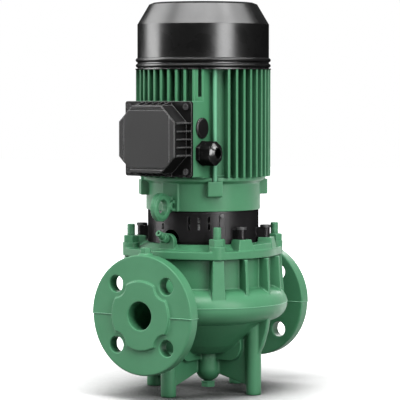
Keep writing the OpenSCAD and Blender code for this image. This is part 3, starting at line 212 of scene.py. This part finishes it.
def buildStudio(v):
    world = bpy.data.worlds.new("paleRoom")
    scene.world = world
    world.use_nodes = True
    tree = world.node_tree
    tree.nodes.clear()
    out = tree.nodes.new("ShaderNodeOutputWorld")
    mix = tree.nodes.new("ShaderNodeMixShader")
    for socket, level in ((mix.inputs[1], v["worldLevel"]), (mix.inputs[2], 1)):
        sky = tree.nodes.new("ShaderNodeBackground")
        sky.inputs["Color"].default_value = (1, 1, 1, 1)
        sky.inputs["Strength"].default_value = level
        tree.links.new(sky.outputs[0], socket)
    tree.links.new(addSeen(tree), mix.inputs[0])
    tree.links.new(mix.outputs[0], out.inputs["Surface"])
    for lamp in v["lamps"]:
        addLamp(*lamp, v["aim"])


def addStrips(v, pieces):
    shiny = bpy.data.collections.new("blackCoatings")
    for piece in pieces:
        shiny.objects.link(piece)
    for values in v["strips"]:
        strip = addLamp(*values, v["aim"])
        strip.visible_diffuse = False
        strip.light_linking.receiver_collection = shiny


floorValues = {
    "half": 6.0,
    "roughness": 0.9,
    "gloss": 0.1,
    "paperTone": 0.86,
    "bounceTone": 0.1,      # what the paper throws back at the pump
    # painted shadow on the paper, darker where the pump closes it in
    "shadeTone": 0.008,
    "shadeReach": 0.2,
    "shadeRange": (0.32, 0.93),
    "fadeRange": (0.22, 0.6),
}


def makePaper(v):
    paper = bpy.data.materials.new("floorPaper")
    paper.use_nodes = True
    tree = paper.node_tree
    body = tree.nodes["Principled BSDF"]
    body.inputs["Roughness"].default_value = v["roughness"]
    body.inputs["Specular IOR Level"].default_value = v["gloss"]
    # the camera sees pale paper with its soft shadow, deepened by a painted shadow where the
    # pump closes it in; the pump is lit by a darker one
    seen = addSeen(tree)
    openness = addCavity(tree, v["shadeReach"])
    near = addRange(tree, openness, v["shadeTone"], v["paperTone"], *v["shadeRange"])
    tone = addBlend(tree, seen, (v["bounceTone"],) * 3, near)
    tree.links.new(tone, body.inputs["Base Color"])
    # away from the pump the paper runs out into plain white
    place = tree.nodes.new("ShaderNodeTexCoord")
    reach = tree.nodes.new("ShaderNodeVectorMath")
    reach.operation = "LENGTH"
    tree.links.new(place.outputs["Object"], reach.inputs[0])
    fade = addRange(tree, reach.outputs["Value"], 0, 1, *v["fadeRange"])
    glow = tree.nodes.new("ShaderNodeEmission")
    glow.inputs["Color"].default_value = (1, 1, 1, 1)
    level = addMath(tree, "MULTIPLY", seen, fade)
    tree.links.new(level.outputs[0], glow.inputs["Strength"])
    addTogether(tree, body, glow)
    return paper


def buildFloor(v):
    half = v["half"]
    corners = [(-half, -half, 0), (half, -half, 0), (half, half, 0), (-half, half, 0)]
    mesh = bpy.data.meshes.new("floor")
    mesh.from_pydata(corners, [], [(0, 1, 2, 3)])
    mesh.materials.append(makePaper(v))
    floor = bpy.data.objects.new("floor", mesh)
    scene.collection.objects.link(floor)


buildStudio(studioValues)
buildFloor(floorValues)
print("studio ready")


# Finishes: what is common to all of them

def startFinish(name, tone, roughness, **sockets):
    finish = bpy.data.materials.new(name)
    finish.use_nodes = True
    shader = finish.node_tree.nodes["Principled BSDF"]
    shader.inputs["Base Color"].default_value = (*tone, 1)
    shader.inputs["Roughness"].default_value = roughness
    for socket, value in sockets.items():
        shader.inputs[socket.replace("_", " ")].default_value = value
    return finish, finish.node_tree, shader


def dress(thing, finish):
    thing.data.materials.clear()
    thing.data.materials.append(finish)


def toned(tone, share):
    return tuple(share * t for t in tone)


def addEdgeRound(tree, radius):
    bevel = tree.nodes.new("ShaderNodeBevel")
    bevel.samples = raySamples
    bevel.inputs["Radius"].default_value = radius
    return bevel.outputs["Normal"]


# the lighter edges set here are a painted highlight on the enamel, and edge wear with a
# painted highlight on the black coats
edgeTurn = (0.72, 0.99)     # cosines between which the edge tone fades out


def addEdgeShare(tree, rounded, strength):
    # how far the rounded normal leaves the flat one: high along edges
    plain = tree.nodes.new("ShaderNodeNewGeometry")
    dot = tree.nodes.new("ShaderNodeVectorMath")
    dot.operation = "DOT_PRODUCT"
    tree.links.new(rounded, dot.inputs[0])
    tree.links.new(plain.outputs["Normal"], dot.inputs[1])
    return addRange(tree, dot.outputs["Value"], strength, 0, *edgeTurn)


# Green enamel of the housing, the cover, the shields, the motor frame and the tie rods

enamelValues = {
    "tone": (0.05, 0.186, 0.09),
    "paleTone": (0.062, 0.212, 0.108),
    "cloudSize": 0.05,
    # colour of the painted shade in corners and under whatever stands out
    "hollowShadeTone": (0.008, 0.04, 0.018),
    "hollowReach": 0.02,
    "hollowRange": (0.1, 0.72),
    "hollowShare": 0.8,
    "shadeReach": 0.08,
    "shadeRange": (0.2, 0.7),
    "shadeShare": 0.45,
    # a painted highlight along every edge
    "edgeHighlightTone": (0.17, 0.42, 0.26),
    "edgeRadius": 0.0011,
    "edgeHighlightShare": 0.6,
    "ridgeHighlightRange": (0.53, 0.62),
    "ridgeHighlightShare": 0.75,
    "roughness": 0.38,
    "roughnessSpread": (-0.05, 0.07),
    "patchSize": 0.012,
    "gloss": 0.26,
    "grain": 0.35,
    "grainSize": 0.0011,
    "grainDepth": 0.00022,
}
frameEnamel = {
    **enamelValues,
    # a deeper painted shade between the motor's fins
    "hollowShadeTone": (0.003, 0.014, 0.006),
    "hollowRange": (0.08, 0.72),
    "shadeShare": 0.1,
    "gloss": 0.14,
    "grain": 0.18,
}
# lighter than the housing's enamel: a painted highlight along the tie rods
rodHighlightEnamel = {
    **enamelValues,
    "tone": (0.11, 0.33, 0.19),
    "paleTone": (0.13, 0.37, 0.22),
    "grain": 0.1,
}


def makeEnamel(name, v, cast=False):
    finish, tree, shader = startFinish(name, v["tone"], v["roughness"],
                                       Specular_IOR_Level=v["gloss"])
    place = addPlace(tree)
    cloud = addNoise(tree, place, v["cloudSize"], detail=5)
    tone = addBlend(tree, addRange(tree, cloud, 0, 1), v["tone"], v["paleTone"])
    # painted shade: dark in the corners, and a wider painted shade under whatever stands out
    for depth in ("hollow", "shade"):
        reach, span, share = v[depth + "Reach"], v[depth + "Range"], v[depth + "Share"]
        tone = addBlend(tree, addRange(tree, addCavity(tree, reach), share, 0, *span),
                        tone, v["hollowShadeTone"])
    if cast:
        # the skin of a casting is even enough for pointiness to find its edges, which get the
        # painted highlight
        rounded = None
        skin = tree.nodes.new("ShaderNodeNewGeometry")
        edge = addRange(tree, skin.outputs["Pointiness"], 0, v["ridgeHighlightShare"], *v["ridgeHighlightRange"])
    else:
        rounded = addEdgeRound(tree, v["edgeRadius"])
        edge = addEdgeShare(tree, rounded, v["edgeHighlightShare"])
    # lighter along the edges: a painted highlight
    tone = addBlend(tree, edge, tone, v["edgeHighlightTone"])
    tree.links.new(tone, shader.inputs["Base Color"])
    fine = addNoise(tree, place, v["grainSize"], detail=3, rough=0.6)
    relief = addBump(tree, fine, v["grainDepth"], v["grain"], rounded)
    tree.links.new(relief, shader.inputs["Normal"])
    patch = addNoise(tree, place, v["patchSize"], detail=3)
    matt = addRange(tree, patch, *[v["roughness"] + r for r in v["roughnessSpread"]])
    tree.links.new(matt, shader.inputs["Roughness"])
    return finish


# Black coats of the lantern, the fan cover, the terminal lid, the gland and the small screws

blackValues = {
    "tone": (0.005, 0.005, 0.005),
    "paleTimes": 1.8,
    "paleShare": 0.35,
    "cloudSize": 0.03,
    "roughnessSpread": (-0.04, 0.06),
    "grainSize": 0.0008,
    "grainDepth": 0.0002,
    "edgeRadius": 0.0009,
    # lighter edges: rubbed wear and a painted highlight
    "edgeWearAndHighlightTone": (0.1, 0.1, 0.1),
    "litPanelTone": None,
}
lanternCoat = {
    **blackValues,
    "tone": (0.008, 0.0075, 0.008),
    "roughness": 0.34,
    "grain": 0.3,
    "edgeWearAndHighlightShare": 0.5,
    "sheen": 0.0016,
}
hoodCoat = {
    **blackValues,
    "tone": (0.0016, 0.0016, 0.0016),
    "roughness": 0.28,
    "grain": 0.05,
    "edgeWearAndHighlightShare": 0.3,
    "sheen": 0.0036,
}
lidPlastic = {
    **blackValues,
    "roughness": 0.4,
    "grain": 0.25,
    "edgeWearAndHighlightShare": 0.9,
    "edgeWearAndHighlightTone": (0.24, 0.24, 0.24),
    "sheen": 0.0016,
    # the front panel painted lighter than the sides, as if the light fell on it alone
    "litPanelTone": (0.028, 0.028, 0.028),
    # how squarely the panel faces forward, and where it ends behind the lid's front
    "panelFacing": (-0.97, -0.9),
    "panelDepth": (0.002, 0.004),
}
glandPlastic = {
    **blackValues,
    "roughness": 0.18,
    "grain": 0.04,
    "edgeWearAndHighlightShare": 0.4,
    "sheen": 0.004,
}
blackenedSteel = {
    **blackValues,
    "tone": (0.008, 0.008, 0.0085),
    "roughness": 0.3,
    "grain": 0.2,
    "edgeWearAndHighlightShare": 0.6,
    "sheen": 0.045,
}


def addPanel(tree, place, v):
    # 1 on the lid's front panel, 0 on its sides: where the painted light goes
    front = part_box("terminal_lid")[0][1]
    facing = tree.nodes.new("ShaderNodeTexCoord")
    lean = tree.nodes.new("ShaderNodeSeparateXYZ")
    tree.links.new(facing.outputs["Normal"], lean.inputs["Vector"])
    ahead = addRange(tree, lean.outputs["Y"], 1, 0, *v["panelFacing"])
    spot = tree.nodes.new("ShaderNodeSeparateXYZ")
    tree.links.new(place, spot.inputs["Vector"])
    near = addRange(tree, spot.outputs["Y"], 1, 0, *[front + d for d in v["panelDepth"]])
    return addMath(tree, "MULTIPLY", ahead, near).outputs[0]


def makeBlackCoat(name, v):
    finish, tree, shader = startFinish(name, v["tone"], v["roughness"], Specular_IOR_Level=0)
    place = addPlace(tree)
    rounded = addEdgeRound(tree, v["edgeRadius"])
    speckle = addNoise(tree, place, v["grainSize"], detail=3, rough=0.65)
    cloud = addNoise(tree, place, v["cloudSize"], detail=4)
    tone = addBlend(tree, addRange(tree, cloud, 0, v["paleShare"]),
                    v["tone"], toned(v["tone"], v["paleTimes"]))
    # painted light: the lid's front panel is lighter than its sides
    if v["litPanelTone"]:
        tone = addBlend(tree, addPanel(tree, place, v), tone, v["litPanelTone"])
    # lighter along the edges: rubbed wear and a painted highlight
    tone = addBlend(tree, addEdgeShare(tree, rounded, v["edgeWearAndHighlightShare"]), tone, v["edgeWearAndHighlightTone"])
    tree.links.new(tone, shader.inputs["Base Color"])
    # the coat shines the same at every angle, so that its rims stay dark
    polish = tree.nodes.new("ShaderNodeBsdfAnisotropic")
    polish.inputs["Color"].default_value = (v["sheen"], v["sheen"], v["sheen"], 1)
    relief = addBump(tree, speckle, v["grainDepth"], v["grain"], rounded)
    matt = addRange(tree, cloud, *[v["roughness"] + r for r in v["roughnessSpread"]])
    for layer in (shader, polish):
        tree.links.new(relief, layer.inputs["Normal"])
        tree.links.new(matt, layer.inputs["Roughness"])
    addTogether(tree, shader, polish)
    return finish


# Bare metals: the shafts, the bearings, the impeller, the cores and the windings

metalValues = {
    "stretch": (1, 1, 1),
    "lineSize": 0.0012,
    "lineDepth": 0.0001,
    "darkTimes": 0.72,
    "darkShare": 0.6,
    # how dark the painted shade makes enclosed metal
    "enclosedShadeTimes": 0.04,
    "enclosedShadeReach": 0.04,
    "enclosedShadeRange": (0.15, 0.85),
    "enclosedShadeShare": 0.93,
    "roughnessSpread": (-0.06, 0.1),
    "grain": 0.15,
}
castBronze = {**metalValues, "tone": (0.62, 0.42, 0.2), "roughness": 0.34}
machinedSteel = {
    **metalValues,
    "tone": (0.62, 0.62, 0.64),
    "roughness": 0.26,
    "stretch": (1, 1, 14),
}
coreSheet = {
    **metalValues,
    "tone": (0.33, 0.34, 0.36),
    "roughness": 0.42,
    "stretch": (1, 1, 30),
}
windingCopper = {
    **metalValues,
    "tone": (0.6, 0.25, 0.1),
    "roughness": 0.35,
    "stretch": (1, 1, 6),
}


def makeMetal(name, v):
    finish, tree, shader = startFinish(name, v["tone"], v["roughness"], Metallic=1.0)
    place = addPlace(tree, v["stretch"])
    lines = addNoise(tree, place, v["lineSize"], detail=4, rough=0.6)
    tone = addBlend(tree, addRange(tree, lines, 0, v["darkShare"]),
                    v["tone"], toned(v["tone"], v["darkTimes"]))
    # painted shade: enclosed metal is darkened towards black
    openness = addCavity(tree, v["enclosedShadeReach"])
    tone = addBlend(tree, addRange(tree, openness, v["enclosedShadeShare"], 0, *v["enclosedShadeRange"]),
                    tone, toned(v["tone"], v["enclosedShadeTimes"]))
    tree.links.new(tone, shader.inputs["Base Color"])
    relief = addBump(tree, lines, v["lineDepth"], v["grain"])
    tree.links.new(relief, shader.inputs["Normal"])
    matt = addRange(tree, lines, *[v["roughness"] + r for r in v["roughnessSpread"]])
    tree.links.new(matt, shader.inputs["Roughness"])
    return finish


# Rubber, seal faces and the terminal board

mouldedValues = {
    "gloss": 0.4,
    "darkTimes": 0.7,
    "darkShare": 0.5,
    "grain": 0.2,
    "grainSize": 0.0009,
    "grainDepth": 0.0001,
}
sealRubber = {**mouldedValues, "tone": (0.018, 0.018, 0.018), "roughness": 0.7}
sealCeramic = {**mouldedValues, "tone": (0.8, 0.78, 0.73), "roughness": 0.2, "grain": 0.05}
sealCarbon = {**mouldedValues, "tone": (0.03, 0.03, 0.033), "roughness": 0.45}
boardResin = {**mouldedValues, "tone": (0.22, 0.05, 0.03), "roughness": 0.4}


def makeMoulded(name, v):
    finish, tree, shader = startFinish(name, v["tone"], v["roughness"],
                                       Specular_IOR_Level=v["gloss"])
    speckle = addNoise(tree, addPlace(tree), v["grainSize"], detail=3, rough=0.6)
    tone = addBlend(tree, addRange(tree, speckle, 0, v["darkShare"]),
                    v["tone"], toned(v["tone"], v["darkTimes"]))
    tree.links.new(tone, shader.inputs["Base Color"])
    relief = addBump(tree, speckle, v["grainDepth"], v["grain"])
    tree.links.new(relief, shader.inputs["Normal"])
    return finish


# One finish for each material slot of the pump

finishes = {
    "paint": makeEnamel("greenEnamel", enamelValues),
    "frame_paint": makeEnamel("frameEnamel", frameEnamel),
    "rod_steel": makeEnamel("rodHighlightEnamel", rodHighlightEnamel),
    "black_paint": makeBlackCoat("lanternCoat", lanternCoat),
    "fan_cover_black": makeBlackCoat("hoodPowderCoat", hoodCoat),
    "black_plastic": makeBlackCoat("lidPlastic", lidPlastic),
    "gloss_black": makeBlackCoat("glandPlastic", glandPlastic),
    "black_screw": makeBlackCoat("blackenedSteel", blackenedSteel),
    "bronze": makeMetal("castBronze", castBronze),
    "bright_steel": makeMetal("machinedSteel", machinedSteel),
    "core_steel": makeMetal("coreSheet", coreSheet),
    "copper": makeMetal("windingCopper", windingCopper),
    "rubber": makeMoulded("sealRubber", sealRubber),
    "ceramic": makeMoulded("sealCeramic", sealCeramic),
    "carbon": makeMoulded("sealCarbon", sealCarbon),
    "board": makeMoulded("boardResin", boardResin),
}
stripSlots = ("fan_cover_black", "black_paint", "black_plastic", "gloss_black")
for name, node in cad.items():
    dress(node, finishes[slotOf[name]])
addStrips(studioValues, [cad[n] for n in cad if slotOf[n] in stripSlots])
print("finishes ready:", len(finishes))


# Castings get the rounded inner and outer corners of sand moulding

castingValues = {
    # how fine the skin of each casting is, in mm
    "voxels": {"pump_housing": 0.9, "casing_cover": 0.7, "lower_shield": 0.7},
    "weldGap": 0.01,
    "softenShare": 0.5,
    "softenRounds": 2,
}


def softenCasting(node, voxel, v):
    weld = node.modifiers.new("weld", "WELD")
    weld.merge_threshold = v["weldGap"] * mm
    skin = node.modifiers.new("skin", "REMESH")
    skin.mode = "VOXEL"
    skin.voxel_size = voxel * mm
    skin.use_smooth_shade = True
    soften = node.modifiers.new("soften", "SMOOTH")
    soften.factor = v["softenShare"]
    soften.iterations = v["softenRounds"]


castEnamel = makeEnamel("castEnamel", enamelValues, cast=True)
for name, voxel in castingValues["voxels"].items():
    softenCasting(cad[name], voxel, castingValues)
    dress(cad[name], castEnamel)
print("castings softened:", len(castingValues["voxels"]))


# Moulding seams: the raised line where the two halves of the mould met, in mm

seamValues = {
    "width": 1.1,
    "roundness": 2,
    # round the volute, as an arc that starts and ends beside the necks
    "voluteRadius": 100.5,
    "voluteHeight": 107.5,
    "fromNeck": 24,
    "voluteSteps": 96,
    # across a flange's face behind its raised middle, over the rim and down its back
    "faceInner": 41,
    "faceStep": 3,
    "rimRadius": 69.7,
    "flangeThick": 15,
    "backInner": 34,
}
# lighter than the housing's enamel: a painted highlight along the raised seams
seamHighlightPaint = {
    **enamelValues,
    "tone": (0.13, 0.34, 0.2),
    "paleTone": (0.15, 0.38, 0.23),
    "grain": 0.1,
}


def addSeam(name, points, finish, v):
    data = bpy.data.curves.new(name, "CURVE")
    data.dimensions = "3D"
    data.bevel_depth = v["width"] * mm / 2
    data.bevel_resolution = v["roundness"]
    data.use_fill_caps = True
    line = data.splines.new("POLY")
    line.points.add(len(points) - 1)
    for point, place in zip(line.points, points):
        point.co = (*[c * mm for c in place], 1)
    seam = bpy.data.objects.new(name, data)
    scene.collection.objects.link(seam)
    data.materials.append(finish)
    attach(seam, "pump_body")


def voluteSeam(v, side):
    radius, height, steps = v["voluteRadius"], v["voluteHeight"], v["voluteSteps"]
    first, last = v["fromNeck"], 180 - v["fromNeck"]
    turns = [math.radians(first + (last - first) * i / steps) for i in range(steps + 1)]
    return [(side * radius * math.sin(t), -radius * math.cos(t), height) for t in turns]


def flangeSeam(v, side, end):
    face = abs(mounts["suction_face"]["pos_m"][1]) / mm - v["faceStep"]
    back = face - v["flangeThick"]
    z = mounts["suction_bore"]["pos_m"][2] / mm
    outline = ((v["faceInner"], face), (v["rimRadius"], face),
               (v["rimRadius"], back), (v["backInner"], back))
    return [(side * across, end * along, z) for across, along in outline]


seamHighlightEnamel = makeEnamel("seamHighlightEnamel", seamHighlightPaint)
for side, hand in ((-1, "left"), (1, "right")):
    addSeam(f"volute_seam_{hand}", voluteSeam(seamValues, side), seamHighlightEnamel, seamValues)
    for end, word in ((-1, "suction"), (1, "discharge")):
        points = flangeSeam(seamValues, side, end)
        addSeam(f"{word}_seam_{hand}", points, seamHighlightEnamel, seamValues)
print("seams laid")


# Cover studs with a cut thread under the paint, in mm

studValues = {
    "radius": 4.8,
    "pitch": 1.5,
    "depth": 0.42,
    "endBevel": 1.0,
    "sides": 28,
    "stepsPerTurn": 6,
}


def threadedStud(mesh, x, y, low, high, v):
    sides, pitch = v["sides"], v["pitch"]
    rows = int((high - low) / pitch * v["stepsPerTurn"])
    rings = []
    for row in range(rows + 1):
        z = low + (high - low) * row / rows
        bevel = max(0, v["endBevel"] - (high - z)) + max(0, v["endBevel"] - (z - low))
        ring = []
        for side in range(sides):
            phase = (z / pitch - side / sides) % 1
            cut = v["depth"] * abs(2 * phase - 1)
            turn = 2 * math.pi * side / sides
            r = v["radius"] - max(cut, bevel)
            place = (x + r * math.cos(turn), y + r * math.sin(turn), z)
            ring.append(mesh.verts.new([c * mm for c in place]))
        rings.append(ring)
    for lower, upper in zip(rings, rings[1:]):
        for side in range(sides):
            after = (side + 1) % sides
            face = mesh.faces.new((lower[side], lower[after], upper[after], upper[side]))
            face.smooth = True
    mesh.faces.new(list(reversed(rings[0])))
    mesh.faces.new(rings[-1])


def buildStuds(v):
    low, high = [[c / mm for c in corner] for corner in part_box("cover_studs")]
    offset = (high[0] - low[0]) / 2 - v["radius"]
    mesh = bmesh.new()
    for sx, sy in ((1, 1), (1, -1), (-1, 1), (-1, -1)):
        threadedStud(mesh, sx * offset, sy * offset, low[2], high[2], v)
    data = bpy.data.meshes.new("threaded_studs")
    mesh.to_mesh(data)
    mesh.free()
    studs = bpy.data.objects.new("threaded_studs", data)
    scene.collection.objects.link(studs)
    data.materials.append(finishes["paint"])
    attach(studs, "pump_body")
    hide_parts("cover_studs")


buildStuds(studValues)
print("studs threaded")
